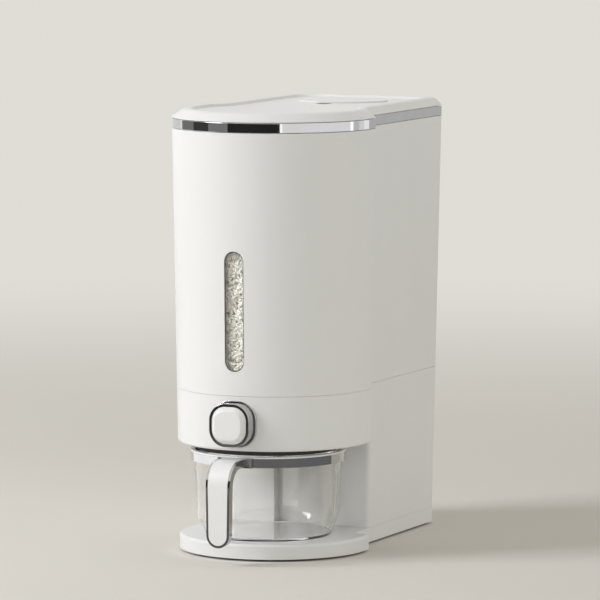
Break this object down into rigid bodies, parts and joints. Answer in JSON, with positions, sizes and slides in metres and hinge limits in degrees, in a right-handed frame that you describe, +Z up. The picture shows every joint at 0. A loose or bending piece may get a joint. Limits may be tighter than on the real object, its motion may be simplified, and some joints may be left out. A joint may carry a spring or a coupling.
{
  "type": "rice dispenser",
  "caption": "Upright rice dispenser: windowed bin, hinged bevelled lid with desiccant hatch, push-button shutter outlet and a pull-out clear cup on a tray.",
  "frame": {"origin": "middle of the bounding box at table level, under the feet", "axes": "+Z up, -Y towards the front with the button and the cup, X across; mirror plane at X = 0"},
  "size_m": [0.1798, 0.3386, 0.3897],
  "materials": {
    "white_shell": "satin moulded",
    "white_lid": "satin moulded",
    "white_button": "smooth gloss",
    "grey_plastic": "plain moulded",
    "hopper_plastic": "smooth matt",
    "cartridge_plastic": "plain moulded",
    "chrome": "bright plated plastic",
    "steel": "plain zinc plated",
    "clear_window": "clear plastic",
    "clear_cup": "clear plastic",
    "dark_seal": "matt",
    "soft_seal": "soft matt",
    "rubber": "matt"
  },
  "bodies": {
    "housing": {"base_tray": "white_shell", "base_cover": "grey_plastic", "base_screws": "steel", "rubber_feet": "rubber", "lower_housing": "white_shell", "upper_shell": "white_shell", "chrome_band": "chrome", "lid_hinge_pins": "steel", "window_pane": "clear_window", "window_gasket": "dark_seal", "hopper": "hopper_plastic", "outlet_seal": "soft_seal", "outlet_chute": "hopper_plastic", "button_collar": "chrome", "stem_bracket": "grey_plastic", "bracket_screws": "steel", "return_spring": "steel", "spill_skirt": "dark_seal"},
    "button": {"button_sleeve": "chrome", "button_cap": "white_button", "push_stem": "grey_plastic", "shutter_plate": "grey_plastic"},
    "lid": {"lid": "white_lid", "lid_liner": "hopper_plastic", "lid_gasket": "soft_seal", "hatch_pin": "steel", "desiccant_tray": "hopper_plastic", "desiccant_cartridge": "cartridge_plastic"},
    "hatch": {"hatch": "white_lid"},
    "cup": {"cup_bowl": "clear_cup", "cup_collar": "chrome", "cup_rim": "white_button", "cup_handle": "chrome", "handle_insert": "white_button"}
  },
  "joints": [
    {"name": "lid_hinge", "type": "hinge", "parent": "housing", "child": "lid", "pos_m": [0, 0.16615, 0.3825], "axis": [-1, 0, 0], "range_deg": [0, 95]},
    {"name": "hatch_hinge", "type": "hinge", "parent": "lid", "child": "hatch", "pos_m": [0, 0.111, 0.3861], "axis": [-1, 0, 0], "range_deg": [0, 95]},
    {"name": "button_press", "type": "slide", "parent": "housing", "child": "button", "axis": [0, 1, 0], "range_m": [0, 0.01], "stiffness_N_per_m": 400, "springref_m": -0.004, "deforming": ["return_spring"]},
    {"name": "cup_slide", "type": "slide", "parent": "housing", "child": "cup", "axis": [0, -1, 0], "range_m": [0, 0.2]}
  ]
}
